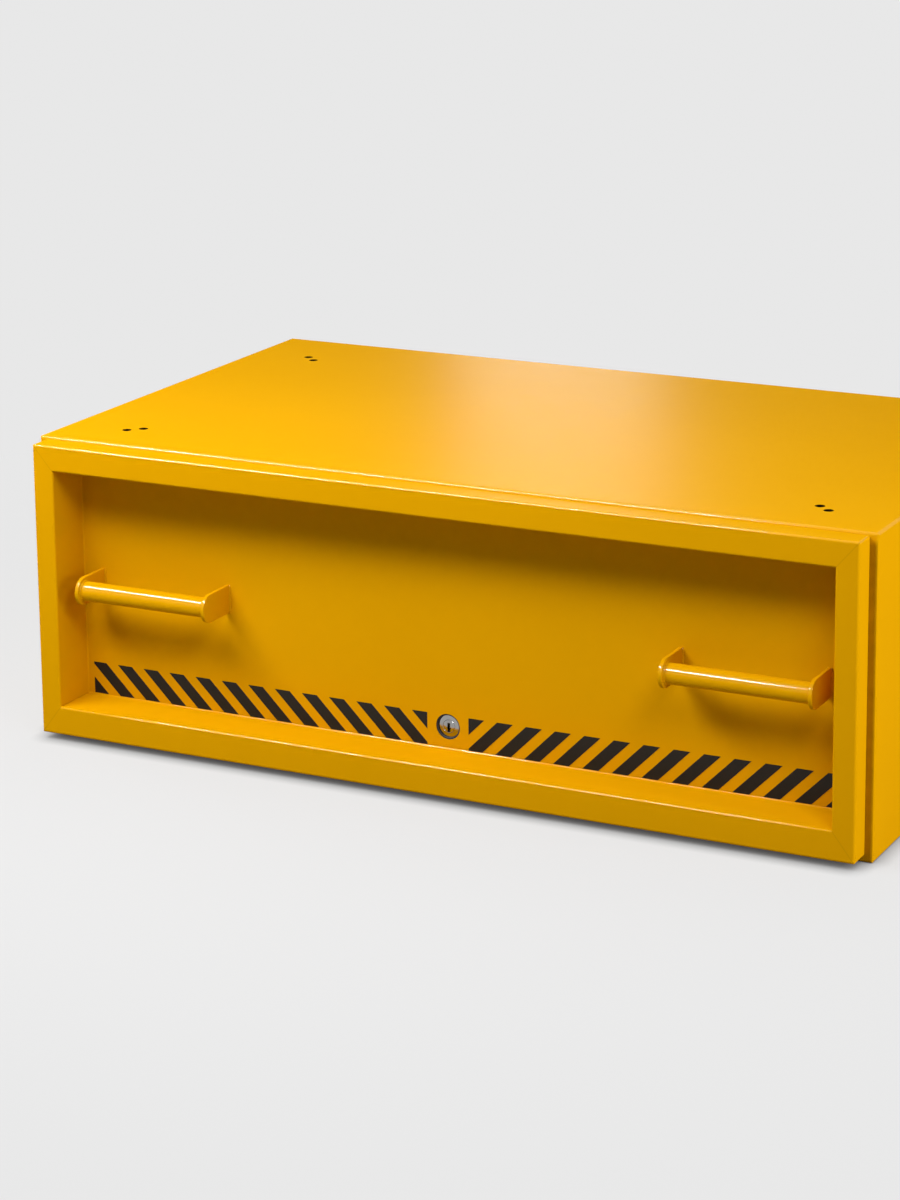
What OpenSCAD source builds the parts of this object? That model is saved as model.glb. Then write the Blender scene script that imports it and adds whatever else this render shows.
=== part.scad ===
// Steel drawer vault for tools: a folded casing, one deep drawer with a proud
// hollow front frame, two bar handles, a key lock and full-extension ball slides.
// X is the width, Y runs from front to back, Z is up. The origin is the middle
// of the whole depth and width, on the floor.

/* [Casing] */
// Width of the casing
casing_w = 1190; // [1100:1:1400]
// Depth of the casing without the drawer front
casing_d = 690; // [680:1:900]
// Height of the casing
casing_h = 416; // [400:1:600]
// Steel sheet of the casing
casing_sheet = 2; // [1.5:0.1:2.5]
// Outer radius of the casing's folds
casing_fold_r = 4; // [3:0.5:6]
// Width of the flanges round the open back
rear_flange = 20; // [14:1:40]
// Width of the flanges round the open underside
base_flange = 20; // [14:1:40]
// Thickness of the floor sheet
floor_sheet = 2; // [1.5:0.1:3]
// Thickness of the back sheet
back_sheet = 2; // [1.5:0.1:3]

/* [Stacking and floor holes] */
// Diameter of the holes
hole_d = 13; // [8:0.5:14]
// Outer holes, half the spacing across the width
outer_hole_x = 504; // [490:1:520]
// Outer holes, half the spacing along the depth
outer_hole_y = 252.5; // [245:0.5:270]
// Step from an outer hole to its inner hole, across the width
hole_step_x = 17; // [14:1:30]
// Step from an outer hole to its inner hole, along the depth
hole_step_y = 15.5; // [13:0.5:30]
// Steel left round each hole of a fixing plate
plate_margin = 20; // [12:1:30]
// Thickness of the plates under the top
top_plate = 3; // [2:0.5:5]

/* [Drawer front] */
// How far the front stands out from the casing
frame_proud = 35; // [25:1:50]
// Step from the casing's side to the frame
frame_side_inset = 11; // [6:0.5:16]
// Step from the casing's top to the frame
frame_top_inset = 3.5; // [2:0.5:8]
// Step from the casing's underside to the frame
frame_bottom_inset = 9; // [6:0.5:14]
// Face width of the upright sides of the frame
stile_w = 30.5; // [26:0.5:40]
// Face height of the frame's top member
top_rail_h = 35; // [30:0.5:45]
// Face height of the frame's bottom member
bottom_rail_h = 39.5; // [36:0.5:50]
// Depth from the frame's face to the panel
recess_d = 70; // [60:1:80]
// Steel sheet of the drawer front
front_sheet = 2; // [1.5:0.1:3]
// Outer radius of the frame's edges
frame_edge_r = 3; // [2:0.5:5]
// Inner radius of the panel's folded rim
panel_rim_r = 2; // [1.5:0.5:5]
// Gap between the closed frame and the casing
closing_gap = 0.5; // [0.3:0.1:1.5]
// Gap round the drawer front in the casing's mouth
mouth_gap = 4; // [3:0.5:8]

/* [Handles] */
// Distance from the side of the recess to the handle
handle_side_gap = 28; // [12:1:60]
// Height of the handles above the floor
handle_z = 211; // [190:1:260]
// Length of a handle over its end plates
handle_l = 201; // [160:1:215]
// Diameter of the handle's tube
handle_d = 26.9; // [22:0.1:30]
// Wall of the handle's tube
handle_wall = 2.6; // [1.5:0.1:4]
// Height of an end plate
handle_plate_h = 38.5; // [34:0.5:50]
// Thickness of an end plate
handle_plate_t = 5; // [3:0.5:8]
// Tube's axis in front of the panel
handle_reach = 49.5; // [38:0.5:50]

/* [Hazard stripes] */
// Height of the striped band
stripe_band_h = 44; // [30:1:60]
// Band above the bottom of the recess
stripe_rise = 2; // [2:0.5:10]
// Distance from the lock's centre to each band
stripe_start = 30; // [26:1:40]
// Distance from each band's outer end to the recess side
stripe_end_gap = 10.5; // [5:0.5:20]
// Width of a stripe measured along the band
stripe_w = 22.5; // [16:0.5:26]
// Stripes in each band, with the cut ones at its ends
stripe_count = 14; // [10:1:16]
// Thickness of the vinyl
stripe_t = 0.25; // [0.1:0.05:0.5]

/* [Drawer tray] */
// Steel sheet of the tray
tray_sheet = 2; // [1.5:0.1:3]
// Height of the tray's sides
tray_side_h = 282; // [240:1:300]
// Gap between the casing's lower lip and the tray
tray_lift = 5.5; // [4:0.5:10]
// Gap left behind the tray for the buffers
tray_rear_gap = 23.5; // [12:0.5:40]
// Diameter of the rubber buffers behind the tray
buffer_d = 24; // [16:1:40]
// Distance from the tray's side to a buffer's axis
buffer_inset = 190; // [60:1:300]
// Width of the tray's inward flanges
tray_flange = 20; // [16:1:30]
// Width of the rim along the tray's sides
tray_rim = 12; // [8:0.5:14]
// Drop of the rim's turned-down edge
tray_rim_drop = 12; // [6:1:20]
// Nuts that hold each side to the panel
side_nut_count = 4; // [2:1:5]

/* [Slides] */
// Height of a slide
slide_h = 53; // [50:0.5:60]
// Thickness of a slide
slide_t = 19; // [18:0.1:22]
// Distance from the slide's rear end to the tray's rear
slide_rear_gap = 19; // [10:1:40]
// Middle of the slides above the floor
slide_z = 110; // [100:1:180]
// Slide's front end behind the panel's back
slide_setback = 6.5; // [3:0.5:15]
// Steel sheet of the slides
slide_sheet = 1.8; // [1.5:0.1:2]
// Steel sheet of the ball cages
cage_sheet = 0.8; // [0.5:0.1:0.8]
// Length of a ball cage
cage_l = 300; // [200:1:300]
// Diameter of the balls
ball_d = 4.4; // [4:0.1:4.6]
// Free play on each side of a ball or cage
slide_play = 0.2; // [0.1:0.05:0.3]
// Distance from ball to ball
ball_pitch = 30; // [20:1:60]
// Height of a slide bracket's web
bracket_h = 70; // [64:1:80]
// Width of a slide bracket's feet
bracket_foot = 12; // [8:1:20]
// Steel sheet of the slide brackets
bracket_sheet = 2; // [1.5:0.1:3]
// Diameter of the rivets
rivet_d = 5; // [4:0.5:6]
// Rivets in each slide member
rivet_count = 3; // [2:1:5]

/* [Lock] */
// Height of the lock above the recess bottom
lock_rise = 30; // [30:0.5:40]
// Diameter of the lock's body
lock_d = 32; // [28:0.5:34]
// Diameter of the hole in the panel
lock_hole_d = 35; // [34:0.5:40]
// Diameter of the turning plug
plug_d = 17; // [14:0.5:20]
// Width of the flange round the lock's body
lock_flange = 7; // [6:0.5:12]
// Length of the lock's body behind the panel
lock_body_l = 34.5; // [28:0.5:45]
// Running clearance round the plug
plug_clear = 0.05; // [0.03:0.01:0.08]
// Width of the keyway
key_w = 4; // [2:0.5:5]
// Height of the keyway
key_h = 13; // [9:0.5:14]
// Radius of the crank pin's path
crank_r = 10; // [8:0.5:10.5]
// Diameter of the crank pin
crank_pin_d = 5; // [4:0.5:6]
// Thickness of the crank disc
crank_t = 3; // [2:0.5:5]
// Width of the sliding bolt
bolt_w = 60; // [50:1:70]
// Thickness of the sliding bolt
bolt_t = 6; // [4:0.5:10]
// Sliding gap of the bolt and the crank
bolt_gap = 0.3; // [0.2:0.05:0.5]
// Sheet of the lock's case
case_sheet = 3; // [2:0.5:4]
// Ears of the case that carry its nuts
case_ear = 20; // [17:1:30]
// Gap between the keeper's top and the raised bolt
keeper_gap = 4; // [3:0.5:8]
// Thickness of the keeper
keeper_sheet = 3; // [2:0.5:4]
// Steel left at each end of the keeper's slot
keeper_end = 17; // [12:1:30]
// Steel left in front of and behind the keeper's slot
keeper_edge = 12; // [8:1:20]
// Length of the keeper's feet
keeper_foot = 25; // [18:1:40]
// Room for the bolt at each end of its slots
slot_end_gap = 3; // [2:0.5:5]
// Room for the bolt at the sides of its slots
slot_side_gap = 2; // [1:0.5:4]

/* [Hidden] */
$fn = 48;
cut = 1;

// Places along the depth
front_y = -(casing_d + frame_proud) / 2;
casing_front = front_y + frame_proud;
casing_rear = casing_front + casing_d;
panel_front = front_y + recess_d;
panel_rear = panel_front + front_sheet;
panel_seam = panel_front - panel_rim_r;
back_inside = casing_rear - casing_sheet - back_sheet;
tray_rear = back_inside - tray_rear_gap;

// The frame and its recess
frame_x = casing_w / 2 - frame_side_inset;
frame_z0 = frame_bottom_inset;
frame_z1 = casing_h - frame_top_inset;
frame_h = frame_z1 - frame_z0;
frame_box_d = frame_proud - closing_gap;
recess_x = frame_x - stile_w;
recess_z0 = frame_z0 + bottom_rail_h;
recess_z1 = frame_z1 - top_rail_h;
handle_x = recess_x - handle_side_gap - handle_l / 2;

// The mouth of the casing
mouth_x = recess_x + front_sheet + mouth_gap;
mouth_z0 = recess_z0 - front_sheet - mouth_gap;
mouth_z1 = recess_z1 + front_sheet + mouth_gap;

// The casing's inside
inside_x = casing_w / 2 - casing_sheet;
floor_top = casing_sheet + floor_sheet;
inner_hole_x = outer_hole_x - hole_step_x;
inner_hole_y = outer_hole_y - hole_step_y;

// The slides, from the bracket's face inwards
slide_side_gap = 1;
slide_face = mouth_x - slide_side_gap;
slide_y = panel_rear + slide_setback;
slide_l = tray_rear - slide_rear_gap - slide_y;
ball_lane = ball_d + 2 * slide_play;
web_lane = cage_sheet + 2 * slide_play;
outer_v = slide_h / 2;
middle_v = outer_v - slide_sheet - ball_lane;
inner_v = middle_v - slide_sheet - ball_lane;
outer_ball_v = middle_v + ball_lane / 2;
inner_ball_v = inner_v + ball_lane / 2;
middle_u = slide_sheet + web_lane;
inner_cage_u = middle_u + slide_sheet + slide_play;
ball_u = slide_t / 2;
member_gap = 3;
inner_u = inner_cage_u + cage_sheet + slide_play;
member_reach = slide_t - member_gap;
lane_end = slide_t - slide_sheet - member_gap;
cage_y = slide_y + (slide_l - cage_l) / 2;
ball_count = floor(cage_l / ball_pitch);
rivet_head_d = 2 * rivet_d;
rivet_head_t = 1;
rivet_end = 50;

// The tray
tray_x = slide_face - slide_t;
tray_z = mouth_z0 + tray_lift;
tray_floor_z = tray_z + tray_sheet;
tray_inside_z = tray_floor_z + tray_sheet;
tray_top = tray_z + tray_side_h;
side_nut_x = tray_x - tray_flange / 2;
side_nut_margin = 30;
nut_d = 13;
nut_t = 6;
stud_d = 6;
stud_past = 3;

// The lock
lock_z = recess_z0 + lock_rise;
lock_sunk = 0.2;
lock_face_y = panel_front + lock_sunk;
lock_rear = panel_rear + lock_body_l;
lock_flange_d = lock_d + 2 * lock_flange;
lock_flange_t = 3;
crank_y = lock_rear + bolt_gap;
bolt_y = crank_y + crank_t + bolt_gap;
cover_y = bolt_y + bolt_t + bolt_gap;
crank_rim = 1.5;
crank_d = 2 * (crank_r + crank_rim) + crank_pin_d;
tail_d = 8;
plug_rear = lock_rear - slide_play;
pin_gap = 0.6;
pin_end_gap = 1;
pin_x = crank_r * cos(45);
pin_z = lock_z + crank_r * sin(45);
bolt_z0 = mouth_z0 + tray_lift;
bolt_above_pin = 8;
bolt_z1 = pin_z + crank_pin_d / 2 + bolt_above_pin;
case_x = bolt_w / 2 + bolt_gap + case_sheet;
case_z0 = tray_inside_z;
case_top_gap = 2;
case_z1 = max(bolt_z1, lock_z + lock_flange_d / 2) + case_top_gap + case_sheet;
case_nut_x = case_x + case_ear / 2;
case_nut_inset = 12;
small_screw_d = 4;
small_head_d = 6.6;
small_head_t = 2.2;
keeper_z1 = bolt_z0 - keeper_gap;
keeper_y0 = bolt_y - slot_side_gap - keeper_edge;
keeper_y1 = bolt_y + bolt_t + slot_side_gap + keeper_edge;
keeper_x = bolt_w / 2 + slot_end_gap + keeper_end;

// A rectangle with round corners, from its lower left corner
module round_rect(size, r) {
    translate([r, 0])
        square([size[0] - 2 * r, size[1]]);
    translate([0, r])
        square([size[0], size[1] - 2 * r]);
    for (x = [r, size[0] - r], y = [r, size[1] - r])
        translate([x, y])
            circle(r);
}

// A box with folded edges: three rounded outlines crossed at right angles
module soft_box(size, r, round_y = true) {
    intersection() {
        linear_extrude(size[2])
            round_rect([size[0], size[1]], r);
        translate([0, size[1], 0])
            rotate([90, 0, 0])
                linear_extrude(size[1])
                    if (round_y)
                        round_rect([size[0], size[2]], r);
                    else
                        square([size[0], size[2]]);
        rotate([90, 0, 90])
            linear_extrude(size[0])
                round_rect([size[1], size[2]], r);
    }
}

// Box from two opposite corners
module span(low, high) {
    translate(low)
        cube(high - low);
}

// Cylinder that points to the back, from its front end
module rod_y(d, l) {
    rotate([-90, 0, 0])
        cylinder(d = d, h = l);
}

// Cylinder that points to the right, from its left end
module rod_x(d, l) {
    rotate([0, 90, 0])
        cylinder(d = d, h = l);
}

// Repeats a piece at the left, mirrored from the right
module at_left() {
    mirror([1, 0, 0])
        children();
}

module at_both() {
    children();
    at_left()
        children();
}

// The eight fixing holes seen from above
module fixing_holes(z0, z1) {
    for (sx = [-1, 1], sy = [-1, 1]) {
        translate([sx * outer_hole_x, sy * outer_hole_y, z0])
            cylinder(d = hole_d, h = z1 - z0);
        translate([sx * inner_hole_x, sy * inner_hole_y, z0])
            cylinder(d = hole_d, h = z1 - z0);
    }
}

// Four plates, one over each pair of holes
module fixing_plates(z0, t) {
    difference() {
        for (sx = [-1, 1], sy = [-1, 1])
            scale([sx, sy, 1])
                span([inner_hole_x - plate_margin, inner_hole_y - plate_margin, z0],
                     [outer_hole_x + plate_margin, outer_hole_y + plate_margin, z0 + t]);
        fixing_holes(z0 - cut, z0 + t + cut);
    }
}

module casing_shell() {
    color("orange")
        difference() {
            translate([-casing_w / 2, casing_front, 0])
                soft_box([casing_w, casing_d, casing_h], casing_fold_r);
            translate([-inside_x, casing_front + casing_sheet, casing_sheet])
                soft_box([2 * inside_x, casing_d - 2 * casing_sheet, casing_h - 2 * casing_sheet],
                         casing_fold_r - casing_sheet);
            // The mouth at the front
            span([-mouth_x, casing_front - cut, mouth_z0],
                 [mouth_x, casing_front + casing_sheet + cut, mouth_z1]);
            // The opening at the back, which the back sheet closes
            span([-casing_w / 2 + rear_flange, casing_rear - casing_sheet - cut, rear_flange],
                 [casing_w / 2 - rear_flange, casing_rear + cut, casing_h - rear_flange]);
            // The opening underneath, which the floor sheet closes
            span([-casing_w / 2 + base_flange, casing_front + base_flange, -cut],
                 [casing_w / 2 - base_flange, casing_rear - base_flange, casing_sheet + cut]);
            fixing_holes(casing_h - casing_sheet - cut, casing_h + cut);
        }
}

module casing_floor() {
    color("orange")
        difference() {
            span([-casing_w / 2 + casing_fold_r, casing_front + casing_fold_r, casing_sheet],
                 [casing_w / 2 - casing_fold_r, casing_rear - casing_fold_r, floor_top]);
            fixing_holes(0, floor_top + cut);
        }
}

module casing_back() {
    color("orange")
        span([-casing_w / 2 + casing_fold_r, back_inside, floor_top],
             [casing_w / 2 - casing_fold_r, back_inside + back_sheet, casing_h - casing_fold_r]);
}

module top_fixing_plates() {
    color("orange")
        fixing_plates(casing_h - casing_sheet - top_plate, top_plate);
}

module floor_fixing_plates() {
    color("orange")
        fixing_plates(0, casing_sheet);
}

// Places an outline of depth and height from the right slide's face along the slide
module along_slide(start, l) {
    translate([slide_face, start, slide_z])
        rotate([90, 0, 180])
            linear_extrude(l)
                children();
}

// Channel section that opens away from its web at u0
module channel(u0, u1, v, t) {
    difference() {
        translate([u0, -v])
            square([u1 - u0, 2 * v]);
        translate([u0 + t, -v + t])
            square([u1 - u0, 2 * (v - t)]);
    }
}

// Rivet centres along a slide
function rivet_y(i) = slide_y + rivet_end + i * (slide_l - 2 * rivet_end) / (rivet_count - 1);

module rivet_holes(x0, x1, d) {
    for (i = [0 : rivet_count - 1])
        translate([x0, rivet_y(i), slide_z])
            rod_x(d, x1 - x0);
}

// Hat section of a slide bracket: web on the slide's side, feet on the casing's wall
module bracket_section() {
    t = bracket_sheet;
    wall = slide_face - inside_x;
    top = bracket_h / 2;
    foot = top + bracket_foot;
    difference() {
        polygon([[0, -top], [0, top], [wall + t, top], [wall + t, foot], [wall, foot],
                 [wall, -foot], [wall + t, -foot], [wall + t, -top]]);
        translate([wall - cut, -top + t])
            square([cut - t - wall, 2 * (top - t)]);
    }
}

module slide_bracket() {
    color("orange")
        difference() {
            along_slide(slide_y, slide_l)
                bracket_section();
            rivet_holes(slide_face - cut, slide_face + bracket_sheet + cut,
                        rivet_d + 2 * slide_play);
        }
}

module slide_outer() {
    color("silver")
        difference() {
            along_slide(slide_y, slide_l)
                channel(0, member_reach, outer_v, slide_sheet);
            rivet_holes(slide_face - slide_sheet - cut, slide_face + cut,
                        rivet_d + 2 * slide_play);
            rivet_holes(slide_face - slide_sheet - cut, slide_face - slide_sheet + rivet_head_t,
                        rivet_head_d);
        }
}

module slide_middle() {
    color("silver")
        along_slide(slide_y, slide_l)
            channel(middle_u, lane_end, middle_v, slide_sheet);
}

module slide_inner() {
    color("silver")
        difference() {
            along_slide(slide_y, slide_l)
                difference() {
                    translate([inner_u, -inner_v])
                        square([slide_t - inner_u, 2 * inner_v]);
                    translate([inner_u - cut, -inner_v + slide_sheet])
                        square([slide_t - inner_u - slide_sheet + cut,
                                2 * (inner_v - slide_sheet)]);
                }
            rivet_holes(tray_x - cut, tray_x + slide_sheet + cut, rivet_d + 2 * slide_play);
        }
}

// Ball centres: upper and lower row of one cage
module at_balls(v) {
    for (i = [0 : ball_count - 1], s = [-1, 1])
        translate([slide_face - ball_u, cage_y + (i + 0.5) * cage_l / ball_count, slide_z + s * v])
            children();
}

module ball_cage(u, v) {
    color("gray")
        difference() {
            along_slide(cage_y, cage_l)
                channel(u, lane_end, v + cage_sheet / 2, cage_sheet);
            at_balls(v)
                cylinder(d = ball_d + 2 * slide_play, h = 3 * cage_sheet, center = true);
        }
}

module ball_set(v) {
    color("silver")
        at_balls(v)
            sphere(d = ball_d);
}

// Rivets that hold the fixed member: their heads lie flush in its web
module slide_outer_rivets() {
    color("silver")
        at_both()
            for (i = [0 : rivet_count - 1])
                translate([slide_face - slide_sheet, rivet_y(i), slide_z]) {
                    rod_x(rivet_head_d, rivet_head_t);
                    rod_x(rivet_d, slide_sheet + bracket_sheet + rivet_head_t);
                    translate([slide_sheet + bracket_sheet, 0, 0])
                        rod_x(rivet_head_d, rivet_head_t);
                }
}

module slide_inner_rivets() {
    color("silver")
        at_both()
            for (i = [0 : rivet_count - 1])
                translate([tray_x - tray_sheet - rivet_head_t, rivet_y(i), slide_z]) {
                    rod_x(rivet_head_d, rivet_head_t);
                    rod_x(rivet_d, tray_sheet + slide_sheet + 2 * rivet_head_t);
                    translate([rivet_head_t + tray_sheet + slide_sheet, 0, 0])
                        rod_x(rivet_head_d, rivet_head_t);
                }
}

module rear_buffers() {
    color("black")
        at_both()
            translate([tray_x - buffer_inset, tray_rear + bolt_gap, slide_z])
                rod_y(buffer_d, tray_rear_gap - bolt_gap);
}

// The hole that the bolt passes through in a level sheet
module bolt_slot(z0, z1) {
    span([-bolt_w / 2 - slot_end_gap, bolt_y - slot_side_gap, z0 - cut],
         [bolt_w / 2 + slot_end_gap, bolt_y + bolt_t + slot_side_gap, z1 + cut]);
}

// Hat bracket on the floor with the slot that the bolt drops into
module lock_keeper() {
    color("silver")
        difference() {
            union() {
                span([-keeper_x, keeper_y0, keeper_z1 - keeper_sheet],
                     [keeper_x, keeper_y1, keeper_z1]);
                at_both() {
                    span([keeper_x - keeper_sheet, keeper_y0, floor_top],
                         [keeper_x, keeper_y1, keeper_z1]);
                    span([keeper_x - keeper_sheet, keeper_y0, floor_top],
                         [keeper_x + keeper_foot, keeper_y1, floor_top + keeper_sheet]);
                }
            }
            bolt_slot(keeper_z1 - keeper_sheet, keeper_z1);
        }
}

// Hollow section of the frame: w across its face, with the deep return of the recess
module frame_section(w) {
    t = front_sheet;
    difference() {
        union() {
            round_rect([w, frame_box_d], frame_edge_r);
            translate([0, frame_edge_r])
                square([w, frame_box_d - frame_edge_r]);
        }
        translate([t, t])
            square([w - 2 * t, frame_box_d - 2 * t]);
    }
    translate([w - t, frame_edge_r])
        square([t, recess_d - panel_rim_r - frame_edge_r]);
}

// One member with mitred ends, lying along X with its outer edge up
module frame_member(w, l, end_w) {
    rotate([-90, 0, 0])
        intersection() {
            translate([-l / 2, 0, 0])
                rotate([90, 0, 90])
                    linear_extrude(l)
                        frame_section(w);
            linear_extrude(recess_d)
                polygon([[-l / 2, 0], [l / 2, 0], [l / 2 - end_w, w], [-l / 2 + end_w, w]]);
        }
}

// Rounds the frame's four outer corners
module frame_corners() {
    intersection() {
        translate([-frame_x, front_y + recess_d, frame_z0])
            rotate([90, 0, 0])
                linear_extrude(recess_d)
                    round_rect([2 * frame_x, frame_h], frame_edge_r);
        children();
    }
}

module frame_top() {
    color("orange")
        frame_corners()
            translate([0, front_y, frame_z1])
                frame_member(top_rail_h, 2 * frame_x, stile_w);
}

module frame_bottom() {
    color("orange")
        frame_corners()
            translate([0, front_y, frame_z0])
                rotate([0, 180, 0])
                    frame_member(bottom_rail_h, 2 * frame_x, stile_w);
}

// An upright: its mitres meet members of different heights
module frame_upright() {
    color("orange")
        frame_corners()
            translate([frame_x, front_y, frame_z0])
                intersection() {
                    rotate([0, 90, 0])
                        rotate([-90, 0, 0])
                            translate([-frame_h, 0, 0])
                                rotate([90, 0, 90])
                                    linear_extrude(frame_h)
                                        frame_section(stile_w);
                    translate([0, recess_d, 0])
                        rotate([90, 0, 0])
                            linear_extrude(recess_d)
                                polygon([[0, 0], [0, frame_h],
                                         [-stile_w, frame_h - top_rail_h],
                                         [-stile_w, bottom_rail_h]]);
                }
}

// The recess as a block with round rear edges, grown by one sheet or not
module recess_block(grow) {
    w = 2 * (recess_x + grow);
    h = recess_z1 - recess_z0 + 2 * grow;
    l = 4 * panel_rim_r;
    r = panel_rim_r + grow;
    translate([-w / 2, panel_front + grow - l, recess_z0 - grow])
        soft_box([w, l, h], r, round_y = false);
}

module front_panel() {
    color("orange")
        difference() {
            intersection() {
                recess_block(front_sheet);
                span([-casing_w / 2, panel_seam, 0], [casing_w / 2, panel_rear, casing_h]);
            }
            difference() {
                recess_block(0);
                span([-casing_w / 2, panel_front, 0], [casing_w / 2, panel_rear, casing_h]);
            }
            translate([0, panel_front - cut, lock_z])
                rod_y(lock_hole_d, front_sheet + 2 * cut);
        }
}

module handle_tube() {
    color("orange")
        translate([handle_x - handle_l / 2 + handle_plate_t, panel_front - handle_reach, handle_z])
            difference() {
                rod_x(handle_d, handle_l - 2 * handle_plate_t);
                translate([-cut, 0, 0])
                    rod_x(handle_d - 2 * handle_wall, handle_l);
            }
}

module handle_plates() {
    color("orange")
        for (s = [-1, 1])
            translate([handle_x + s * (handle_l - handle_plate_t) / 2 - handle_plate_t / 2,
                       panel_front - handle_reach, handle_z]) {
                rod_x(handle_plate_h, handle_plate_t);
                translate([0, 0, -handle_plate_h / 2])
                    cube([handle_plate_t, handle_reach, handle_plate_h]);
            }
}

// Slanted stripes cut to the band, to the right of the lock
module hazard_stripes() {
    band_l = recess_x - stripe_end_gap - stripe_start;
    pitch = (band_l + stripe_band_h - stripe_w) / (stripe_count - 1);
    color("black")
        translate([stripe_start, panel_front, recess_z0 + stripe_rise])
            rotate([90, 0, 0])
                linear_extrude(stripe_t)
                    intersection() {
                        square([band_l, stripe_band_h]);
                        for (i = [0 : stripe_count - 1])
                            translate([i * pitch - stripe_band_h, 0])
                                polygon([[0, 0], [stripe_w, 0],
                                         [stripe_w + stripe_band_h, stripe_band_h],
                                         [stripe_band_h, stripe_band_h]]);
                    }
}

module tray_floor() {
    color("orange")
        difference() {
            span([-tray_x + tray_sheet, panel_rear, tray_floor_z],
                 [tray_x - tray_sheet, tray_rear - tray_sheet, tray_inside_z]);
            bolt_slot(tray_floor_z, tray_inside_z);
        }
}

function side_nut_z(i) = tray_inside_z + side_nut_margin
    + i * (tray_side_h - 2 * side_nut_margin - 2 * tray_sheet) / (side_nut_count - 1);

module tray_side() {
    t = tray_sheet;
    color("orange")
        difference() {
            union() {
                span([tray_x - t, panel_rear, tray_z], [tray_x, tray_rear, tray_top]);
                // Flange under the floor
                span([tray_x - tray_flange, panel_rear, tray_z],
                     [tray_x, tray_rear, tray_floor_z]);
                // Rim with its turned-down edge
                span([tray_x - t, panel_rear, tray_top - t],
                     [tray_x + tray_rim, tray_rear, tray_top]);
                span([tray_x + tray_rim - t, panel_rear, tray_top - tray_rim_drop],
                     [tray_x + tray_rim, tray_rear, tray_top]);
                // Flange against the panel
                span([tray_x - tray_flange, panel_rear, tray_inside_z],
                     [tray_x, panel_rear + t, tray_top]);
            }
            for (i = [0 : side_nut_count - 1])
                translate([side_nut_x, panel_rear - cut, side_nut_z(i)])
                    rod_y(stud_d + 2 * slide_play, t + 2 * cut);
            rivet_holes(tray_x - t - cut, tray_x + cut, rivet_d + 2 * slide_play);
        }
}

module tray_back() {
    color("orange")
        span([-tray_x + tray_sheet, tray_rear - tray_sheet, tray_floor_z],
             [tray_x - tray_sheet, tray_rear, tray_top]);
}

// A stud with its hexagonal nut, from the sheet it is welded to
module stud_nut(clamped) {
    rod_y(stud_d, clamped + nut_t + stud_past);
    translate([0, clamped, 0])
        rotate([-90, 0, 0])
            cylinder(d = nut_d, h = nut_t, $fn = 6);
}

module tray_side_nuts() {
    color("silver")
        at_both()
            for (i = [0 : side_nut_count - 1])
                translate([side_nut_x, panel_rear, side_nut_z(i)])
                    stud_nut(tray_sheet);
}

// Screw centres on the lock's flange
module at_lock_screws() {
    for (s = [-1, 1])
        translate([s * (lock_d + lock_flange_d) / 4, 0, lock_z])
            children();
}

module lock_body() {
    color("silver")
        difference() {
            union() {
                translate([0, lock_face_y, lock_z])
                    rod_y(lock_d, lock_rear - lock_face_y);
                translate([0, panel_rear + case_sheet, lock_z])
                    rod_y(lock_flange_d, lock_flange_t);
            }
            translate([0, lock_face_y - cut, lock_z])
                rod_y(plug_d + 2 * plug_clear, lock_body_l + recess_d);
            at_lock_screws()
                translate([0, panel_rear, 0])
                    rod_y(small_screw_d + 2 * slide_play, case_sheet + lock_flange_t + cut);
        }
}

module lock_body_screws() {
    color("silver")
        at_lock_screws()
            translate([0, panel_rear + 0.2, 0]) {
                rod_y(small_screw_d, case_sheet + lock_flange_t);
                translate([0, case_sheet + lock_flange_t - 0.2, 0])
                    rod_y(small_head_d, small_head_t);
            }
}

module at_case_nuts() {
    for (s = [-1, 1], z = [case_z0 + case_nut_inset, case_z1 - case_nut_inset])
        translate([s * case_nut_x, panel_rear, z])
            children();
}

module at_cover_screws() {
    for (s = [-1, 1], z = [case_z0 + case_nut_inset, case_z1 - case_nut_inset])
        translate([s * (case_x + case_ear / 4), cover_y, z])
            children();
}

// Five-sided steel case behind the panel, with lips for its cover
module lock_case() {
    t = case_sheet;
    color("silver")
        difference() {
            union() {
                difference() {
                    span([-case_x, panel_rear, case_z0], [case_x, cover_y, case_z1]);
                    span([-case_x + t, panel_rear + t, case_z0 + t],
                         [case_x - t, cover_y + cut, case_z1 - t]);
                }
                span([-case_x - case_ear, panel_rear, case_z0],
                     [case_x + case_ear, panel_rear + t, case_z1]);
                for (s = [0, 1])
                    mirror([s, 0, 0])
                        span([case_x - t, cover_y - t, case_z0],
                             [case_x + case_ear / 2, cover_y, case_z1]);
            }
            translate([0, panel_rear - cut, lock_z])
                rod_y(lock_d + 2 * slide_play, t + 2 * cut);
            span([-bolt_w / 2 - bolt_gap, bolt_y - bolt_gap, case_z0 - cut],
                 [bolt_w / 2 + bolt_gap, cover_y + cut, case_z0 + t + cut]);
            at_case_nuts()
                translate([0, -cut, 0])
                    rod_y(stud_d + 2 * slide_play, t + 2 * cut);
            at_lock_screws()
                translate([0, panel_rear - cut, 0])
                    rod_y(small_screw_d + 2 * slide_play, t + 2 * cut);
            at_cover_screws()
                translate([0, -t - cut, 0])
                    rod_y(small_screw_d + 2 * slide_play, t + 2 * cut);
        }
}

module lock_case_nuts() {
    color("silver")
        at_case_nuts()
            stud_nut(case_sheet);
}

module lock_cover() {
    color("orange")
        difference() {
            span([-case_x - case_ear / 2, cover_y, case_z0],
                 [case_x + case_ear / 2, cover_y + case_sheet, case_z1]);
            at_cover_screws()
                translate([0, -cut, 0])
                    rod_y(small_screw_d + 2 * slide_play, case_sheet + 2 * cut);
        }
}

module lock_cover_screws() {
    color("silver")
        at_cover_screws() {
            translate([0, -case_sheet, 0])
                rod_y(small_screw_d, 2 * case_sheet);
            translate([0, case_sheet, 0])
                rod_y(small_head_d, small_head_t);
        }
}

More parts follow.
